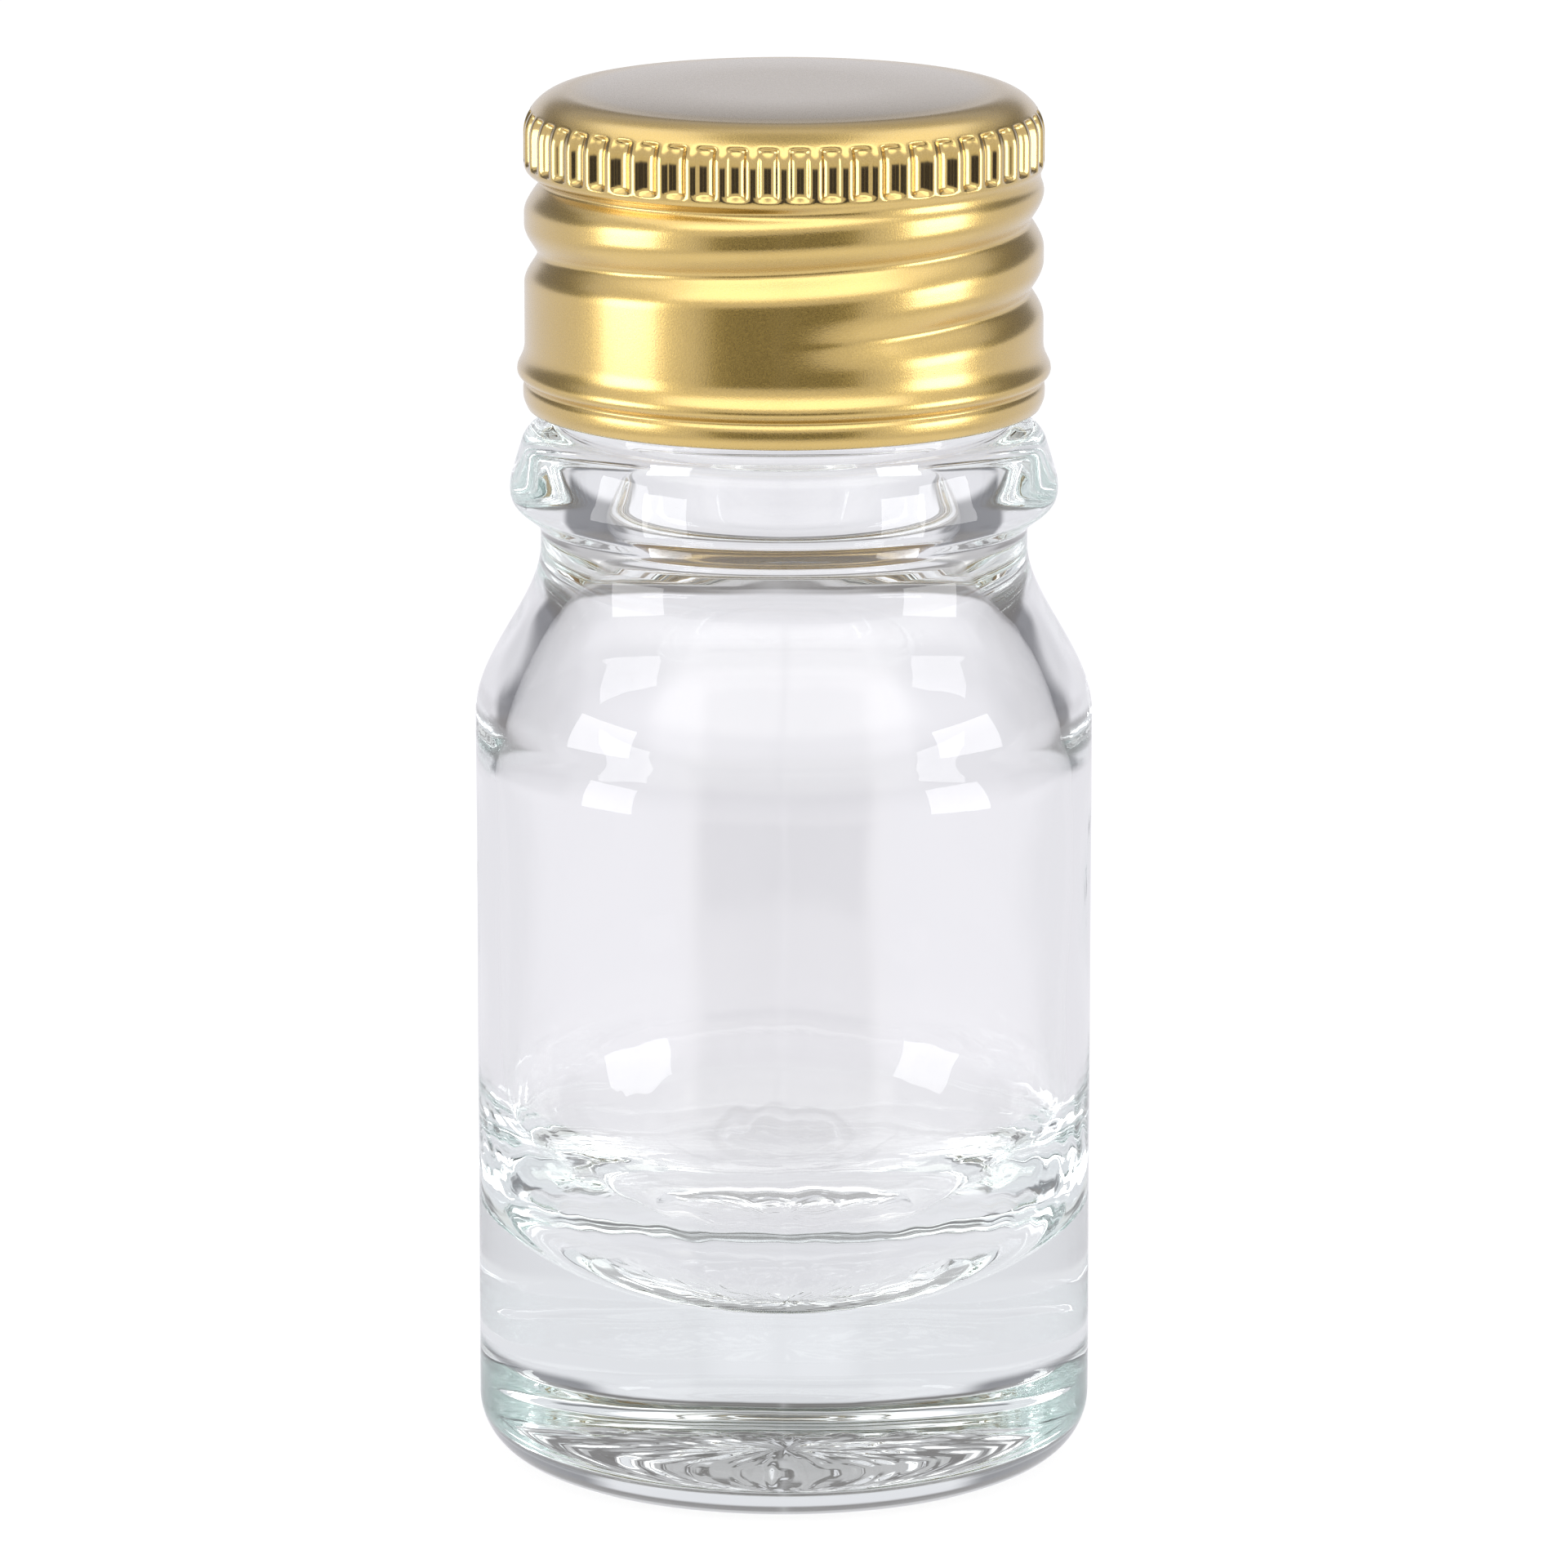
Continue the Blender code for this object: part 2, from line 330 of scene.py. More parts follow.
class Wiring:
    """Adds shader nodes to one tree and joins them."""

    def __init__(self, tree: bpy.types.NodeTree) -> None:
        """Takes the tree to work in."""
        self.tree = tree

    def add(self, kind: str, **settings: object) -> bpy.types.Node:
        """A new node of a kind such as ShaderNodeMath, with its settings."""
        node = self.tree.nodes.new(kind)
        for name, value in settings.items():
            setattr(node, name, value)
        return node

    def feed(self, socket: bpy.types.NodeSocket, value: object) -> None:
        """Joins a socket to a value: another socket, or a plain number, vector or colour."""
        if isinstance(value, bpy.types.NodeSocket):
            self.tree.links.new(value, socket)
        else:
            socket.default_value = value

    def maths(self, operation: str, *values: object) -> bpy.types.NodeSocket:
        """One arithmetic step on sockets or numbers."""
        node = self.add("ShaderNodeMath", operation=operation)
        for socket, value in zip(node.inputs, values):
            self.feed(socket, value)
        return node.outputs[0]

    def rise(self, value: object, low: float, high: float) -> bpy.types.NodeSocket:
        """A smooth step from 0 where the value is low to 1 where it is high."""
        node = self.add("ShaderNodeMapRange", interpolation_type="SMOOTHSTEP")
        self.feed(node.inputs["Value"], value)
        node.inputs["From Min"].default_value = low
        node.inputs["From Max"].default_value = high
        return node.outputs["Result"]

    def span(self, value: object, low: float, high: float) -> bpy.types.NodeSocket:
        """The value carried from a share between 0 and 1 to the range from low to high."""
        node = self.add("ShaderNodeMapRange")
        self.feed(node.inputs["Value"], value)
        node.inputs["To Min"].default_value = low
        node.inputs["To Max"].default_value = high
        return node.outputs["Result"]

    def blend(self, share: object, first: object, second: object) -> bpy.types.NodeSocket:
        """A colour mixed from the first to the second by the share."""
        node = self.add("ShaderNodeMix", data_type="RGBA")
        self.feed(node.inputs[MIX_FACTOR], share)
        for socket, value in zip(MIX_COLOURS, (first, second)):
            self.feed(node.inputs[socket], value)
        return node.outputs[MIX_COLOUR_RESULT]

    def between(self, share: object, first: object, second: object) -> bpy.types.NodeSocket:
        """A number mixed from the first to the second by the share."""
        node = self.add("ShaderNodeMix", data_type="FLOAT")
        self.feed(node.inputs[MIX_FACTOR], share)
        for socket, value in zip(MIX_NUMBERS, (first, second)):
            self.feed(node.inputs[socket], value)
        return node.outputs[0]

    def place(self) -> bpy.types.NodeSocket:
        """The place on the piece, in metres."""
        return self.add("ShaderNodeTexCoord").outputs["Object"]

    def noise(
        self, grain_mm: float, detail: float, squeeze: Colour = (1.0, 1.0, 1.0)
    ) -> bpy.types.NodeSocket:
        """Noise whose spots are about grain_mm wide, and wider along an axis squeezed below 1."""
        scaled = self.add("ShaderNodeVectorMath", operation="MULTIPLY")
        self.feed(scaled.inputs[0], self.place())
        scaled.inputs[1].default_value = squeeze
        node = self.add("ShaderNodeTexNoise")
        self.feed(node.inputs["Vector"], scaled.outputs[0])
        node.inputs["Scale"].default_value = 1.0 / (grain_mm * MM)
        node.inputs["Detail"].default_value = detail
        return node.outputs["Fac"]

    def attribute(self, name: str) -> bpy.types.NodeSocket:
        """A point attribute of the piece."""
        return self.add("ShaderNodeAttribute", attribute_name=name).outputs["Fac"]

    def bump(self, height: object, depth_mm: float) -> bpy.types.NodeSocket:
        """A bumped normal, for which the height from 0 to 1 stands for depth_mm."""
        node = self.add("ShaderNodeBump")
        self.feed(node.inputs["Height"], height)
        node.inputs["Distance"].default_value = depth_mm * MM
        return node.outputs["Normal"]


def new_material(name: str) -> tuple[bpy.types.Material, Wiring, bpy.types.Node]:
    """An empty Principled material.

    Args:
        name: The finish's name.

    Returns:
        The material, its wiring and its shader node.
    """
    material = bpy.data.materials.new(name)
    material.use_nodes = True
    shader = material.node_tree.nodes["Principled BSDF"]
    return material, Wiring(material.node_tree), shader


@dataclass(frozen=True)
class ClearGlass:
    """Moulded flint glass: clear, faintly green in thick places, with a fire-polished skin."""

    refraction: float = 1.52
    tint: Colour = (0.80, 0.93, 0.90)
    tint_per_metre: float = 12.0
    skin_grain: float = 1.6
    skin_detail: float = 2.0
    skin_squeeze: Colour = (1.0, 1.0, 0.6)
    skin_depth: float = 0.004

    def material(self) -> bpy.types.Material:
        """The finish, as a Principled shader with absorption inside."""
        material, wiring, shader = new_material("clear_glass_fine")
        shader.inputs["Base Color"].default_value = (1.0, 1.0, 1.0, 1.0)
        shader.inputs["Roughness"].default_value = 0.0
        shader.inputs["IOR"].default_value = self.refraction
        shader.inputs["Transmission Weight"].default_value = 1.0
        skin = wiring.noise(self.skin_grain, self.skin_detail, self.skin_squeeze)
        wiring.feed(shader.inputs["Normal"], wiring.bump(skin, self.skin_depth))
        body = wiring.add("ShaderNodeVolumeAbsorption")
        body.inputs["Color"].default_value = (*self.tint, 1.0)
        body.inputs["Density"].default_value = self.tint_per_metre
        output = material.node_tree.nodes["Material Output"]
        wiring.feed(output.inputs["Volume"], body.outputs[0])
        return material


@dataclass(frozen=True)
class GoldLacquer:
    """Satin aluminium under gold lacquer: fine metallic grain, bright and smooth in the flutes, and a
    painted reflection on the top disc in a paler, greyer gold.
    """

    gold: Colour = (0.70, 0.48, 0.12)
    deep_gold: Colour = (0.60, 0.40, 0.08)
    # painted reflection: this paler, greyer gold on the top disc stands in for the pale surroundings it
    # reflects
    painted_top_reflection_gold: Colour = (0.60, 0.48, 0.30)
    cloud: float = 2.5
    grain: float = 0.06
    grain_depth: float = 0.004
    grain_gold: Point = (0.35, 0.75)
    grain_left_by_polish: float = 0.1
    satin: Point = (0.23, 0.33)
    polished: float = 0.10
    coat_roughness: float = 0.2
    coat_refraction: float = 1.9

    def material(self) -> bpy.types.Material:
        """The finish, which reads the piece's polish attribute and the attribute that marks the top
        disc for its painted reflection colour.
        """
        material, wiring, shader = new_material("gold_lacquer_satin")
        polish = wiring.attribute("polish")
        flake = wiring.noise(self.grain, 1.0)
        cloud = wiring.noise(self.cloud, 2.0)
        colour = wiring.blend(cloud, (*self.gold, 1.0), (*self.deep_gold, 1.0))
        bright = wiring.blend(wiring.rise(flake, *self.grain_gold), colour, (*self.gold, 1.0))
        # painted reflection: the top disc is blended towards the paler, greyer gold
        painted_top_reflection = wiring.attribute("painted_top_reflection")
        wiring.feed(shader.inputs["Base Color"], wiring.blend(painted_top_reflection, bright, (*self.painted_top_reflection_gold, 1.0)))
        shader.inputs["Metallic"].default_value = 1.0
        roughness = wiring.between(polish, wiring.span(flake, *self.satin), self.polished)
        wiring.feed(shader.inputs["Roughness"], roughness)
        grain_left = wiring.span(polish, 1.0, self.grain_left_by_polish)
        depth = wiring.maths("MULTIPLY", flake, grain_left)
        wiring.feed(shader.inputs["Normal"], wiring.bump(depth, self.grain_depth))
        shader.inputs["Coat Weight"].default_value = 1.0
        shader.inputs["Coat Roughness"].default_value = self.coat_roughness
        shader.inputs["Coat IOR"].default_value = self.coat_refraction
        return material


@dataclass(frozen=True)
class LinerFoam:
    """White closed-cell foam: matt, with fine round cells."""

    colour: Colour = (0.88, 0.88, 0.86)
    # painted shade: the darker colour at the hollow middle of each cell
    shade: Colour = (0.78, 0.78, 0.75)
    cell: float = 0.25
    cell_depth: float = 0.04
    roughness: Point = (0.95, 0.75)
    glow: float = 0.15
    glow_reach: float = 1.0

    def material(self) -> bpy.types.Material:
        """The finish: cells from a Voronoi pattern, deeper at their middles, with painted shade that
        darkens the colour there.
        """
        material, wiring, shader = new_material("liner_foam_cells")
        cells = wiring.add("ShaderNodeTexVoronoi")
        wiring.feed(cells.inputs["Vector"], wiring.place())
        cells.inputs["Scale"].default_value = 1.0 / (self.cell * MM)
        distance = cells.outputs["Distance"]
        # painted shade: the colour darkens towards each cell's hollow middle
        colour = wiring.blend(distance, (*self.shade, 1.0), (*self.colour, 1.0))
        wiring.feed(shader.inputs["Base Color"], colour)
        wiring.feed(shader.inputs["Roughness"], wiring.span(distance, *self.roughness))
        wiring.feed(shader.inputs["Normal"], wiring.bump(distance, self.cell_depth))
        shader.inputs["Subsurface Weight"].default_value = self.glow
        shader.inputs["Subsurface Radius"].default_value = (self.glow_reach * MM,) * 3
        return material


@dataclass(frozen=True)
class LinerFilm:
    """Smooth sealing film over the foam: off-white, glossy, faintly uneven."""

    colour: Colour = (0.84, 0.84, 0.82)
    shade: Colour = (0.77, 0.77, 0.75)
    waviness: float = 1.2
    wave_depth: float = 0.01
    roughness: Point = (0.2, 0.38)

    def material(self) -> bpy.types.Material:
        """The finish: soft clouds of shade and gloss."""
        material, wiring, shader = new_material("liner_film_gloss")
        cloud = wiring.noise(self.waviness, 3.0)
        colour = wiring.blend(cloud, (*self.shade, 1.0), (*self.colour, 1.0))
        wiring.feed(shader.inputs["Base Color"], colour)
        wiring.feed(shader.inputs["Roughness"], wiring.span(cloud, *self.roughness))
        wiring.feed(shader.inputs["Normal"], wiring.bump(cloud, self.wave_depth))
        return material


# ---------------------------------------------------------------- pieces


class Part(Protocol):
    """A sub-assembly that makes one piece."""

    def build(self) -> bpy.types.Object:
        """Makes the piece's mesh."""

    def dress(self, piece: bpy.types.Object) -> None:
        """Gives the piece its finish and its place on the frame."""


@dataclass
class GlassBottle:
    """The moulded bottle with its cavity, thread, transfer ring and pushed-up base."""

    body_radius: float
    lip_top: float
    columns: int = 256
    push_up_radius: float = 7.6
    push_up_height: float = 0.9
    heel_width: float = 2.2
    heel_height: float = 2.15
    shoulder_bottom: float = 27.2
    shoulder_top: float = 33.3
    neck_gap: float = 0.1
    neck_radius: float = 8.65
    ring_radius: float = 9.75
    ring_height: float = 35.2
    ring_half_band: float = 0.35
    ring_taper: float = 0.05
    ring_underside: float = 1.15
    ring_top: float = 37.6
    ring_top_radius: float = 9.15
    ring_top_fall: float = 0.1
    finish_gap: float = 1.0
    finish_radius: float = 8.0
    lip_rounding: float = 0.5
    bore_radius: float = 6.0
    bore_bottom: float = 36.2
    cavity_radius: float = 10.2
    cavity_shoulder: float = 25.0
    floor_height: float = 6.1
    floor_flat_radius: float = 0.5
    bowl_height: float = 8.0
    thread_height: float = 0.68
    thread_half_width: float = 0.65
    thread: Helix = Helix(43.73, 2.5, -135.0, 370.0, 35.0)
    outer_waves: Waves = Waves(0.012, 0.5, 4)
    inner_waves: Waves = Waves(0.035, 0.6, 9)
    bowl_waves: Waves = Waves(0.014, 3.0, 21, 48)
    base_pits: Waves = Waves(0.10, 3.2, 33, 44)
    lip_fade: float = 4.0
    axis_fade: float = 5.0
    bowl_fade: float = 3.0
    base_fade_start: float = 0.5
    base_fade: float = 2.0
    pit_axis_fade: float = 0.25
    pit_edge_fade: float = 0.2

    @property
    def finish_start(self) -> float:
        """The height at which the plain finish starts, a small gap above the ring."""
        return self.ring_top + self.finish_gap

    def outer_profile(self) -> np.ndarray:
        """From the centre of the base, round the heel and up the outside to the lip."""
        shares = np.linspace(0.0, 1.0, 42)
        push_up = np.column_stack(
            (self.push_up_radius * shares, self.push_up_height * (1.0 - shares**2))
        )
        heel_centre = (self.body_radius - self.heel_width, self.heel_height)
        heel = arc(heel_centre, (self.heel_width, self.heel_height), -90.0, 0.0, 18)
        shoulder = s_curve(
            (self.body_radius, self.shoulder_bottom), (self.neck_radius, self.shoulder_top), 30
        )
        ring = rounded(
            [
                (self.neck_radius, self.shoulder_top + self.neck_gap, 0.0),
                (self.neck_radius, self.ring_height - self.ring_underside, 0.5),
                (self.ring_radius - self.ring_taper, self.ring_height - self.ring_half_band, 0.45),
                (self.ring_radius, self.ring_height + self.ring_half_band, 0.5),
                (self.ring_top_radius, self.ring_top - self.ring_top_fall, 0.55),
                (self.finish_radius, self.ring_top, 0.3),
                (self.finish_radius, self.finish_start, 0.0),
            ],
            0.16,
        )
        lip_centre = (self.finish_radius - self.lip_rounding, self.lip_top - self.lip_rounding)
        lip = arc(lip_centre, (self.lip_rounding, self.lip_rounding), 0.0, 90.0, 6)
        wall = line(tuple(heel[-1]), tuple(shoulder[0]), 26)
        finish = line(tuple(ring[-1]), tuple(lip[0]), 62)
        return respaced(np.vstack((push_up, heel, wall, shoulder, ring, finish, lip)), 2.0)

    def inner_profile(self) -> np.ndarray:
        """From the mouth down the bore, the shoulder and the wall to the centre of the floor."""
        mouth_centre = (self.bore_radius + self.lip_rounding, self.lip_top - self.lip_rounding)
        mouth = arc(mouth_centre, (self.lip_rounding, self.lip_rounding), 90.0, 180.0, 6)
        bore = line(tuple(mouth[-1]), (self.bore_radius, self.bore_bottom), 10)
        shoulder = s_curve(
            (self.bore_radius, self.bore_bottom), (self.cavity_radius, self.cavity_shoulder), 36
        )
        bowl_top = self.floor_height + self.bowl_height
        bowl = arc(
            (self.floor_flat_radius, bowl_top),
            (self.cavity_radius - self.floor_flat_radius, self.bowl_height),
            0.0,
            -90.0,
            44,
        )
        wall = line(tuple(shoulder[-1]), tuple(bowl[0]), 6)
        floor = line(tuple(bowl[-1]), (0.0, self.floor_height), 4)
        return respaced(np.vstack((mouth, bore, shoulder, wall, bowl, floor)), 2.0)

    def thread_rise(self, grid: Turning) -> np.ndarray:
        """How far the thread stands out: its height times a raised cosine across its helix."""
        above, fade = self.thread.nearest(grid.angles, grid.heights)
        share = np.clip(np.abs(above) / self.thread_half_width, 0.0, 1.0)
        on_finish = grid.heights > self.finish_start
        on_finish = on_finish & (grid.heights < self.lip_top - self.lip_rounding)
        ridge = 0.5 * (1.0 + np.cos(math.pi * share))
        return on_finish * fade * ridge * self.thread_height

    def wall_waves(self, grid: Turning, outside: np.ndarray) -> np.ndarray:
        """How far the mould's unevenness moves each wall along its radius.

        The outer wall has slow waves that only take glass away, and the inner wall has slow waves
        and, in the bowl, finer ones. All fade out near the lip, the axis and the base.

        Args:
            grid: The bottle's grid.
            outside: True for each row of the outer wall.

        Returns:
            The change of radius at each grid point.
        """
        outer_wave = self.outer_waves.at(grid.angles, grid.heights) - self.outer_waves.height
        inner_wave = self.inner_waves.at(grid.angles, grid.heights)
        in_bowl = ease((self.floor_height + self.bowl_height - grid.heights) / self.bowl_fade)
        bowl_wave = self.bowl_waves.at(grid.angles, grid.heights) * in_bowl
        waves = np.where(outside, outer_wave, inner_wave + bowl_wave)
        below_lip = ease((self.ring_height - grid.heights) / self.lip_fade)
        off_axis = ease(grid.radii / self.axis_fade)
        off_base = ease((grid.heights - self.base_fade_start) / self.base_fade)
        return waves * below_lip * off_axis * off_base

    def pit_depth(self, grid: Turning) -> np.ndarray:
        """How deep the underside is pitted, which is the part of its waves above 0.

        The pits fade out at the axis and at the edge of the pushed-up middle.

        Args:
            grid: The bottle's grid.

        Returns:
            The rise of the underside at each grid point.
        """
        share = grid.radii / self.push_up_radius
        under = (grid.heights < self.push_up_height + 0.01) & (share < 1.0)
        pits = np.maximum(self.base_pits.at(grid.angles, grid.radii), 0.0)
        fade = ease(share / self.pit_axis_fade)
        return under * pits * fade * ease((1.0 - share) / self.pit_edge_fade)

    def build(self) -> bpy.types.Object:
        """Makes the bottle: both profiles as one grid, with the thread, the waves and the pits.

        Returns:
            The bottle as one closed mesh.
        """
        outer = self.outer_profile()
        inner = self.inner_profile()
        grid = Turning.of_profile(np.vstack((outer, inner)), self.columns)
        outside = np.arange(len(grid.radii))[:, None] < len(outer)
        grid.radii = grid.radii + outside * self.thread_rise(grid)
        grid.radii = grid.radii + self.wall_waves(grid, outside)
        grid.heights = grid.heights + outside * self.pit_depth(grid)
        return grid.to_object("glass_bottle_fine")

    def dress(self, piece: bpy.types.Object) -> None:
        """Gives the bottle its finish and its place on the frame."""
        piece.data.materials.append(ClearGlass().material())
        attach(piece, "bottle")
        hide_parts("glass_bottle")


@dataclass
class FlutedTurning(Turning):
    """A turned grid whose columns repeat an uneven set of phases in each flute."""

    phases: tuple[float, ...] = (0.0,)

    @property
    def angles(self) -> np.ndarray:
        """Degrees from +X of each column: the flute's number plus its phase, over the count."""
        flutes = self.radii.shape[1] // len(self.phases)
        places = np.arange(flutes)[:, None] + np.array(self.phases)
        return places.ravel() * 360.0 / flutes


@dataclass
class CapShell:
    """The drawn shell: slightly crowned top, fluted rim, rolled thread groove, bead and plain skirt."""

    top: float
    bottom: float
    bead_radius: float
    flutes: int = 52
    wall: float = 0.2
    radius: float = 9.18
    corner: float = 1.6
    crown_flat: float = 3.4
    crown_sag: float = 0.14
    # how far inside the corner the painted reflection on the top disc reaches full strength
    painted_top_reflection_edge: float = 0.8
    flute_top: float = 48.85
    flute_bottom: float = 46.95
    flute_end: float = 0.16
    flute_depth: float = 0.27
    flute_half_width: float = 0.36
    flute_flank: float = 0.10
    flute_flat: float = 0.28
    flute_belly: float = 0.45
    flute_phases: tuple[float, ...] = (0.0, 0.14, 0.22, 0.34, 0.5, 0.66, 0.78, 0.86)
    rim_bottom: float = 46.86
    recess_radius: float = 9.06
    recess_top: float = 46.66
    recess_bottom: float = 46.4
    band_top: float = 46.1
    inner_step_bottom: float = 46.7
    inner_step_top: float = 47.0
    groove: Helix = Helix(42.48, 2.5, -95.0, 660.0, 50.0)
    groove_depth: float = 0.55
    groove_half_width: float = 1.05
    groove_softness: float = 0.10
    groove_belly: float = 0.6
    groove_top: float = 46.75
    groove_clearance: float = 0.7
    groove_fade: float = 0.4
    bead_flare: float = 0.65
    bead_height: float = 39.62
    bead_upper: float = 0.1
    bead_lower: float = 0.12
    crease_height: float = 39.2
    crease_radius: float = 9.12
    crease_fall: float = 0.16
    skirt_radius: float = 9.24
    edge_radius: float = 9.1
    edge_rise: float = 0.3
    inner_flare: float = 0.7
    shine_start: float = 0.1
    shine_start_fade: float = 0.15
    shine_end: float = 0.05
    shine_end_fade: float = 0.4

    def sag(self, radii: np.ndarray) -> np.ndarray:
        """How far the top falls towards its rim: the crown sag times the squared share of the way.

        Args:
            radii: Distances from the axis, up to where the corner starts.

        Returns:
            The fall below the middle of the top, which is 0 out to the flat radius.
        """
        share = (radii - self.crown_flat) / (self.radius - self.corner - self.crown_flat)
        return self.crown_sag * np.clip(share, 0.0, 1.0) ** 2

    def outer_profile(self) -> np.ndarray:
        """From the centre of the top, over the corner and down the side to the lower edge."""
        corner_centre = (self.radius - self.corner, self.top - self.corner)
        disc_radii = np.linspace(0.0, self.radius - self.corner, 20)
        disc = np.column_stack((disc_radii, self.top - self.sag(disc_radii)))
        corner_height = self.corner - self.crown_sag
        corner = arc(corner_centre, (self.corner, corner_height), 86.0, 0.0, 30)
        side = rounded(
            [
                (self.radius, self.top - self.corner, 0.0),
                (self.radius, self.rim_bottom, 0.15),
                (self.recess_radius, self.recess_top, 0.1),
                (self.recess_radius, self.recess_bottom, 0.2),
                (self.radius, self.band_top, 0.2),
                (self.radius, self.bead_height + self.bead_flare, 0.4),
                (self.bead_radius, self.bead_height + self.bead_upper, 0.2),
                (self.bead_radius, self.bead_height - self.bead_lower, 0.15),
                (self.crease_radius, self.crease_height, 0.08),
                (self.skirt_radius, self.crease_height - self.crease_fall, 0.12),
                (self.skirt_radius, self.bottom + self.edge_rise, 0.2),
                (self.edge_radius, self.bottom, 0.0),
            ],
            0.1,
        )
        return respaced(np.vstack((disc, corner, side)), 1.5)

    def inner_profile(self) -> np.ndarray:
        """From the lower edge up the inside to the centre of the ceiling."""
        inset = self.wall
        side = rounded(
            [
                (self.edge_radius - inset, self.bottom, 0.0),
                (self.skirt_radius - inset, self.bottom + self.edge_rise, 0.1),
                (self.crease_radius - inset, self.crease_height, 0.1),
                (self.bead_radius - inset, self.bead_height, 0.2),
                (self.radius - inset, self.bead_height + self.inner_flare, 0.3),
                (self.radius - inset, self.inner_step_bottom, 0.2),
                (self.radius - inset - self.flute_depth, self.inner_step_top, 0.2),
                (self.radius - inset - self.flute_depth, self.top - self.corner, 0.0),
            ],
            0.2,
        )
        corner = arc(
            (self.radius - self.corner, self.top - self.corner),
            (self.corner - inset - self.flute_depth, self.corner - inset - self.crown_sag),
            0.0,
            90.0,
            8,
        )
        ceiling_radii = np.linspace(self.radius - self.corner, 0.0, 12)
        ceiling = np.column_stack((ceiling_radii, self.top - inset - self.sag(ceiling_radii)))
        return respaced(np.vstack((side, corner, ceiling)), 2.0)

    def flute_share(self, heights: np.ndarray) -> np.ndarray:
        """How deep the flutes are at each grid point, from 0 to 1.

        Across a flute, with q the distance from its middle in flutes, the depth is an eased step
        that ends at the half width, times 1 less the belly times the square of q over the width of
        the flat part. Along it, the depth rises within the flute end length of both ends.

        Args:
            heights: Millimetres, one for each grid point.

        Returns:
            The share of the full depth.
        """
        phases = np.tile(self.flute_phases, self.flutes)
        q = np.abs(phases - 0.5)
        across = ease((self.flute_half_width - q) / self.flute_flank)
        across = across * (1.0 - self.flute_belly * (q / self.flute_flat) ** 2)
        along = ease((heights - self.flute_bottom) / self.flute_end)
        along = along * ease((self.flute_top - heights) / self.flute_end)
        return along * np.clip(across, 0.0, 1.0)

    def groove_share(self, angles: np.ndarray, heights: np.ndarray) -> np.ndarray:
        """How deep the rolled groove is at each grid point, from 0 to 1.

        With v the root of u squared plus the softness squared, and u the distance from the helix
        over the half width, the depth is (1 - v) squared times 1 plus the belly times v.

        Args:
            angles: Degrees from +X, one for each column.
            heights: Millimetres, one for each grid point.

        Returns:
            The share of the full depth.
        """
        above, fade = self.groove.nearest(angles, heights)
        v = np.sqrt((above / self.groove_half_width) ** 2 + self.groove_softness**2)
        v = np.clip(v, 0.0, 1.0)
        below_rim = ease((self.groove_top - heights) / self.groove_fade)
        above_bead = ease((heights - self.bead_height - self.groove_clearance) / self.groove_fade)
        return fade * (1.0 - v) ** 2 * (1.0 + self.groove_belly * v) * below_rim * above_bead

    def shine(self, heights: np.ndarray) -> np.ndarray:
        """How polished each height is, from 0 to 1: fully in the flutes, and eased at both ends.

        Args:
            heights: Millimetres, one for each grid point.

        Returns:
            The share of full polish.
        """
        start = ease((heights - self.flute_bottom + self.shine_start) / self.shine_start_fade)
        return start * ease((self.flute_top - heights + self.shine_end) / self.shine_end_fade)

    def build(self) -> bpy.types.Object:
        """Makes the shell: the flutes and the groove are taken off the radius.

        Columns stand closer together at the flanks of each flute, so the angles follow the flute
        phases instead of being even.

        Returns:
            The shell as one closed mesh with the attribute polish, and an attribute that marks the top
            disc for its painted reflection colour.
        """
        outer = self.outer_profile()
        inner = self.inner_profile()
        columns = self.flutes * len(self.flute_phases)
        grid = FlutedTurning.of_profile(np.vstack((outer, inner)), columns)
        grid.phases = self.flute_phases
        outside = np.arange(len(grid.radii))[:, None] < len(outer)
        flute = self.flute_share(grid.heights) * outside
        groove = self.groove_share(grid.angles, grid.heights)
        grid.radii = grid.radii - flute * self.flute_depth - groove * self.groove_depth
        # painted reflection: the top disc, inside the corner, is marked for a paler, greyer gold
        painted_top_reflection_mask = ease((self.radius - self.corner - grid.radii) / self.painted_top_reflection_edge)
        shares = {"polish": self.shine(grid.heights) * outside, "painted_top_reflection": painted_top_reflection_mask * outside}
        return grid.to_object("cap_shell_fine", shares)

    def dress(self, piece: bpy.types.Object) -> None:
        """Gives the shell its finish and its place on the frame."""
        piece.data.materials.append(GoldLacquer().material())
        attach(piece, "cap")
        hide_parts("cap_shell")


class Layer(Enum):
    """The two layers of the liner."""

    FACING = "liner_facing"
    FOAM = "liner_foam"


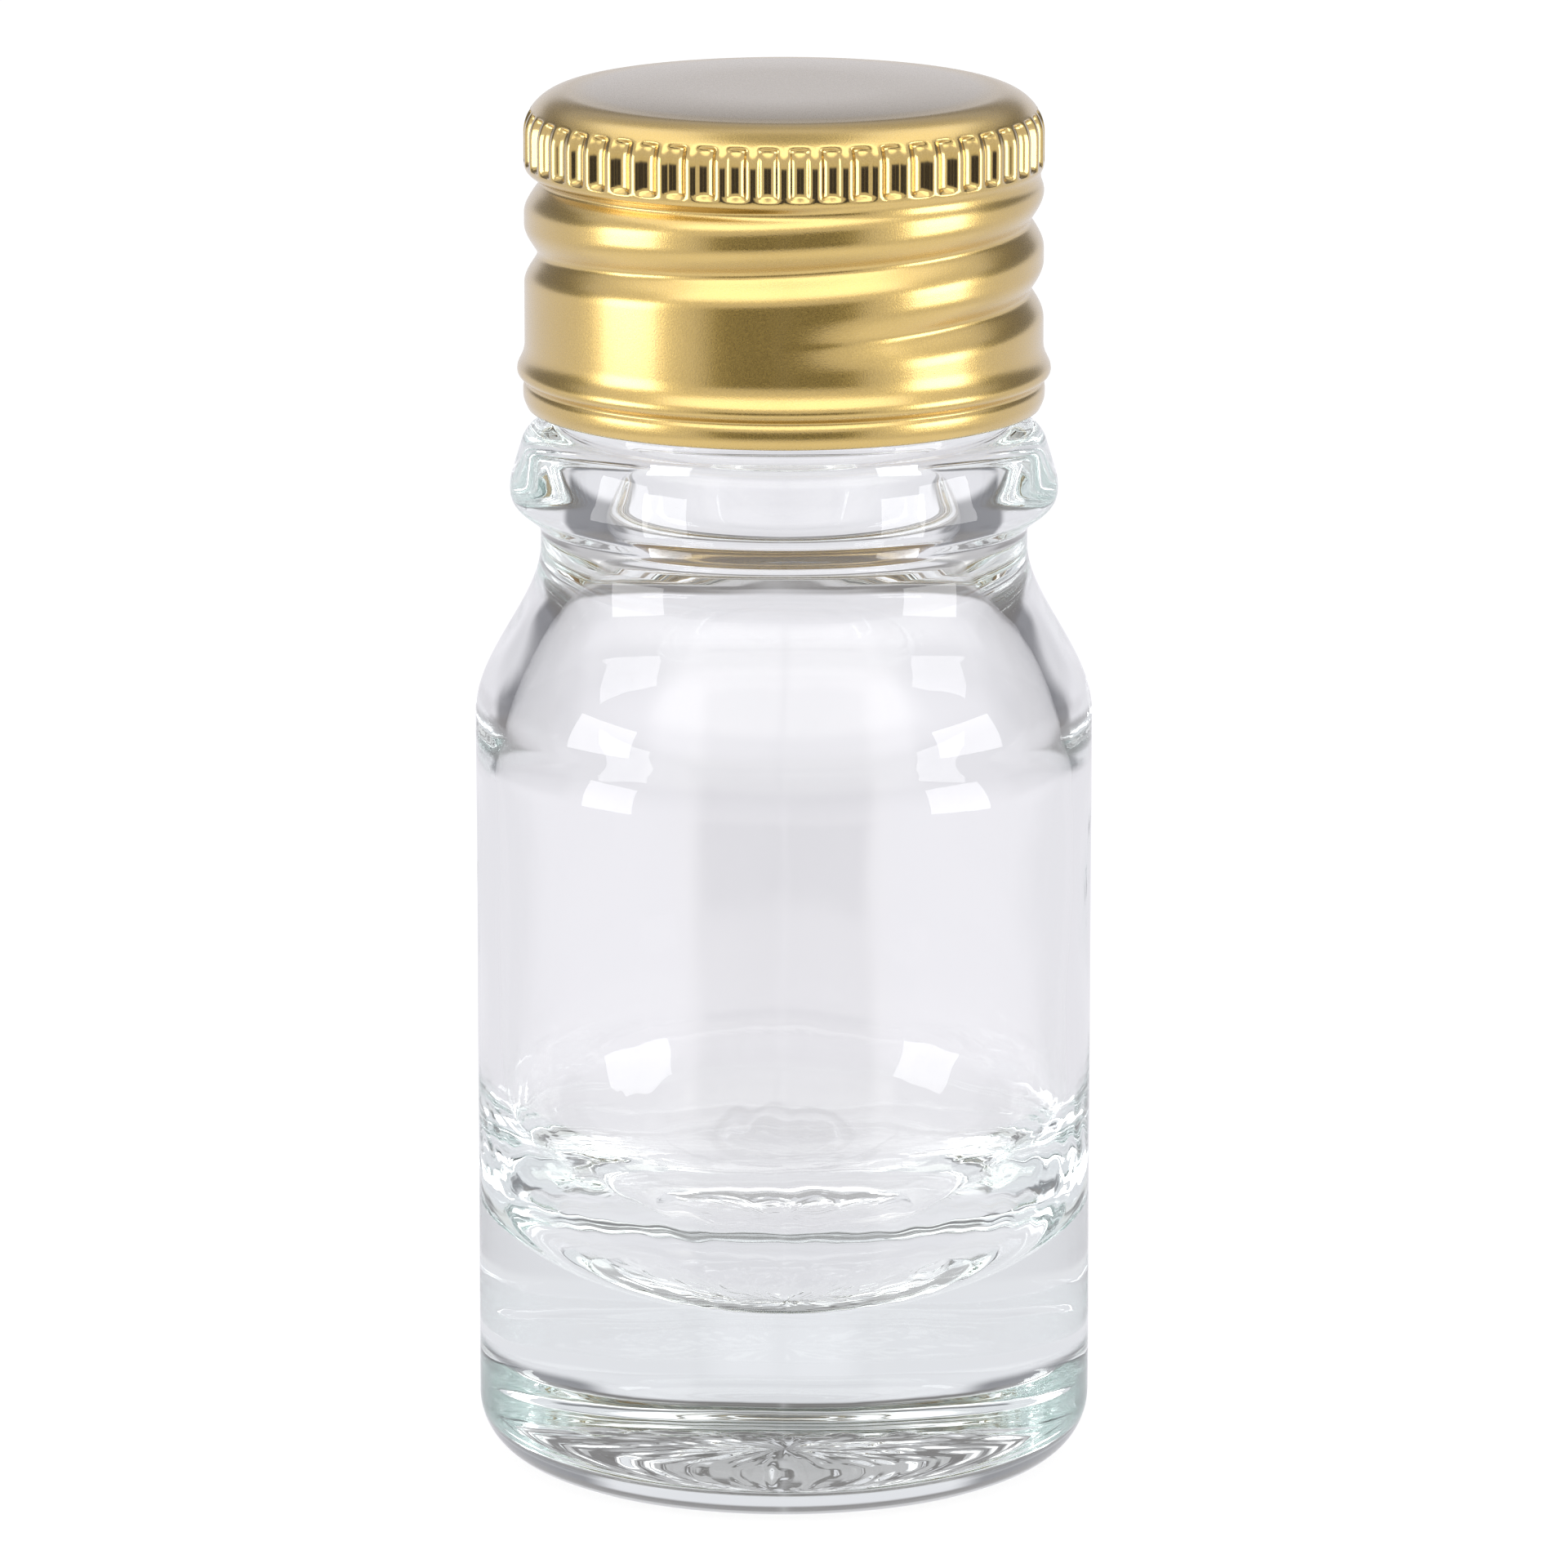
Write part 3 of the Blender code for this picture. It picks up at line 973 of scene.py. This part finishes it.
@dataclass
class LinerDisc:
    """One round layer of the liner, which lies loose in the shell."""

    layer: Layer
    radius: float
    bottom: float
    top: float
    columns: int = 128
    lip_inner: float = 6.2
    lip_outer: float = 7.8
    lip_print: float = 0.05
    lip_print_edge: float = 0.3
    rim_share: float = 0.35

    def build(self) -> bpy.types.Object:
        """Makes the layer with rounded rims.

        The facing's underside is pressed up by the lip print times the product of two eased steps,
        at the inner and the outer edge of the lip. Rows run outwards below and inwards above.

        Returns:
            The layer as one closed mesh.
        """
        rim = self.rim_share * (self.top - self.bottom)
        profile = rounded(
            [
                (0.0, self.bottom, 0.0),
                (self.radius, self.bottom, rim),
                (self.radius, self.top, rim),
                (0.0, self.top, 0.0),
            ],
            0.25,
        )
        grid = Turning.of_profile(profile, self.columns)
        if self.layer is Layer.FACING:
            below = grid.heights < 0.5 * (self.bottom + self.top)
            print_share = ease((grid.radii - self.lip_inner) / self.lip_print_edge)
            print_share = print_share * ease((self.lip_outer - grid.radii) / self.lip_print_edge)
            grid.heights = grid.heights + below * print_share * self.lip_print
        return grid.to_object(self.layer.value + "_fine")

    def dress(self, piece: bpy.types.Object) -> None:
        """Gives the layer its finish and its place on the frame."""
        if self.layer is Layer.FACING:
            piece.data.materials.append(LinerFilm().material())
        else:
            piece.data.materials.append(LinerFoam().material())
        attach(piece, "liner")
        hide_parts(self.layer.value)


# ---------------------------------------------------------------- studio


@dataclass(frozen=True)
class Patch:
    """A soft-edged field of light or shade on the studio's far surroundings.

    Azimuth is degrees from the front, on both sides alike. Elevation is degrees above the level.
    """

    azimuth: Point
    elevation: Point
    colour: Colour
    edge: float = 8.0


@dataclass
class Studio:
    """Plain soft light, a pale floor and the camera."""

    ambient: Colour = (0.79, 0.783, 0.823)
    camera_height: float = 103.04
    camera_distance: float = 350.0
    aim_height: float = 24.45
    lens: float = 230.4
    floor_half_size: float = 2000.0
    floor_tone: float = 0.14
    floor_glow: float = 0.9
    light_bounces: int = 48
    side_light_tone: float = 2.8
    side_light_distance: float = 100.0
    side_light_azimuth: float = 70.0
    side_light_height: float = 46.0
    side_light_width: float = 50.0
    side_light_length: float = 44.0
    patches: tuple[Patch, ...] = (
        Patch((-1.0, 120.0), (-62.0, -34.0), (1.05, 1.04, 1.05), 10.0),
        Patch((120.0, 181.0), (-50.0, -19.0), (0.82, 0.815, 0.85), 10.0),
        Patch((170.0, 181.0), (-26.0, -6.0), (0.88, 0.87, 0.915), 8.0),
        Patch((-1.0, 40.0), (-34.0, 10.0), (0.80, 0.78, 0.77), 14.0),
        Patch((-1.0, 34.0), (-20.0, -2.0), (0.05, 0.045, 0.04), 8.0),
        Patch((98.0, 152.0), (4.0, 22.0), (0.22, 0.22, 0.24), 8.0),
        Patch((112.0, 181.0), (26.0, 56.0), (0.50, 0.49, 0.50), 6.0),
        Patch((112.0, 181.0), (14.0, 27.0), (0.20, 0.19, 0.19), 5.0),
        Patch((58.0, 142.0), (40.0, 74.0), (1.45, 1.45, 1.45), 12.0),
        Patch((-1.0, 60.0), (30.0, 62.0), (2.2, 2.19, 2.17), 12.0),
        Patch((-1.0, 181.0), (72.0, 95.0), (0.50, 0.49, 0.50), 12.0),
    )

    def light(self) -> None:
        """Paints the far surroundings: the ambient tone, and over it each patch in turn.

        A direction's azimuth is the angle of (x, -y) and its elevation the arcsine of z. A patch's
        mask is the product of four smooth steps, one at each of its sides.
        """
        world = bpy.data.worlds.new("studio")
        bpy.context.scene.world = world
        world.use_nodes = True
        wiring = Wiring(world.node_tree)
        direction = wiring.add("ShaderNodeTexCoord").outputs["Generated"]
        split = wiring.add("ShaderNodeSeparateXYZ")
        wiring.feed(split.inputs[0], direction)
        x, y, z = split.outputs
        sideways = wiring.maths("ABSOLUTE", x)
        angle = wiring.maths("ARCTAN2", sideways, wiring.maths("MULTIPLY", y, -1.0))
        azimuth = wiring.maths("DEGREES", angle)
        elevation = wiring.maths("DEGREES", wiring.maths("ARCSINE", z))
        tone = (*self.ambient, 1.0)
        for patch in self.patches:
            mask = 1.0
            for value, (low, high) in ((azimuth, patch.azimuth), (elevation, patch.elevation)):
                half = 0.5 * patch.edge
                mask = wiring.maths("MULTIPLY", mask, wiring.rise(value, low - half, low + half))
                mask = wiring.maths("MULTIPLY", mask, wiring.rise(value, high + half, high - half))
            tone = wiring.blend(mask, tone, (*patch.colour, 1.0))
        background = world.node_tree.nodes["Background"]
        wiring.feed(background.inputs["Color"], tone)

    def hang_side_lights(self) -> None:
        """Two small soft lights, left and right of the cap, turned towards the axis.

        An area light's power is four times its tone times its area.
        """
        area = self.side_light_width * self.side_light_length * MM**2
        for side in (-1.0, 1.0):
            data = bpy.data.lights.new("side_light", "AREA")
            data.shape = "RECTANGLE"
            data.size = self.side_light_width * MM
            data.size_y = self.side_light_length * MM
            data.energy = 4.0 * self.side_light_tone * area
            lamp = bpy.data.objects.new("side_light", data)
            turn = side * math.radians(self.side_light_azimuth)
            reach = self.side_light_distance * MM
            height = self.side_light_height * MM
            lamp.location = (reach * math.sin(turn), -reach * math.cos(turn), height)
            lamp.rotation_euler = (math.pi / 2.0, 0.0, turn)
            bpy.context.scene.collection.objects.link(lamp)

    def lay_floor(self) -> None:
        """A pale floor that the camera sees, with only a faint shade under the vial."""
        half = self.floor_half_size * MM
        corners = [(-half, -half, 0.0), (half, -half, 0.0), (half, half, 0.0), (-half, half, 0.0)]
        mesh = bpy.data.meshes.new("floor")
        mesh.from_pydata(corners, [], [(0, 1, 2, 3)])
        material, _, shader = new_material("pale_floor")
        shader.inputs["Base Color"].default_value = (*(self.floor_tone,) * 3, 1.0)
        shader.inputs["Roughness"].default_value = 1.0
        shader.inputs["Specular IOR Level"].default_value = 0.0
        shader.inputs["Emission Color"].default_value = (1.0, 1.0, 1.0, 1.0)
        shader.inputs["Emission Strength"].default_value = self.floor_glow
        mesh.materials.append(material)
        floor = bpy.data.objects.new("floor", mesh)
        bpy.context.scene.collection.objects.link(floor)
        for ray in ("diffuse", "glossy", "transmission", "volume_scatter", "shadow"):
            setattr(floor, "visible_" + ray, False)

    def place_camera(self) -> None:
        """A long lens in front of the vial, above it and looking slightly down."""
        data = bpy.data.cameras.new("camera")
        data.lens = self.lens
        data.clip_start = 0.01
        camera = bpy.data.objects.new("camera", data)
        camera.location = (0.0, -self.camera_distance * MM, self.camera_height * MM)
        gaze = Vector((0.0, 0.0, self.aim_height * MM)) - camera.location
        camera.rotation_euler = gaze.to_track_quat("-Z", "Y").to_euler()
        bpy.context.scene.collection.objects.link(camera)
        bpy.context.scene.camera = camera

    def build(self) -> None:
        """Sets the whole studio up, with plain colours and enough light paths for thick glass."""
        self.light()
        self.hang_side_lights()
        self.lay_floor()
        self.place_camera()
        scene = bpy.context.scene
        scene.view_settings.view_transform = "Standard"
        scene.cycles.max_bounces = self.light_bounces
        scene.cycles.transmission_bounces = self.light_bounces
        scene.cycles.glossy_bounces = self.light_bounces


# ---------------------------------------------------------------- assembly


def box_mm(node: str) -> tuple[Vector, Vector]:
    """A CAD node's lowest and highest corners in millimetres."""
    low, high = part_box(node)
    return low / MM, high / MM


def vial_parts() -> list[Part]:
    """The sub-assemblies, sized from the frame's boxes.

    Returns:
        Every part, in the order in which they are built.
    """
    _, glass_high = box_mm("glass_bottle")
    cap_low, cap_high = box_mm("cap_shell")
    parts: list[Part] = [
        GlassBottle(body_radius=glass_high.x, lip_top=glass_high.z),
        CapShell(top=cap_high.z, bottom=cap_low.z, bead_radius=cap_high.x),
    ]
    for layer in Layer:
        low, high = box_mm(layer.value)
        parts.append(LinerDisc(layer=layer, radius=high.x, bottom=low.z, top=high.z))
    return parts


def main() -> None:
    logging.basicConfig(level=logging.INFO, format="%(message)s")
    for part in vial_parts():
        piece = part.build()
        part.dress(piece)
        LOG.info("%s: %d faces", piece.name, len(piece.data.polygons))
    Studio().build()


if __name__ == "__main__":
    main()
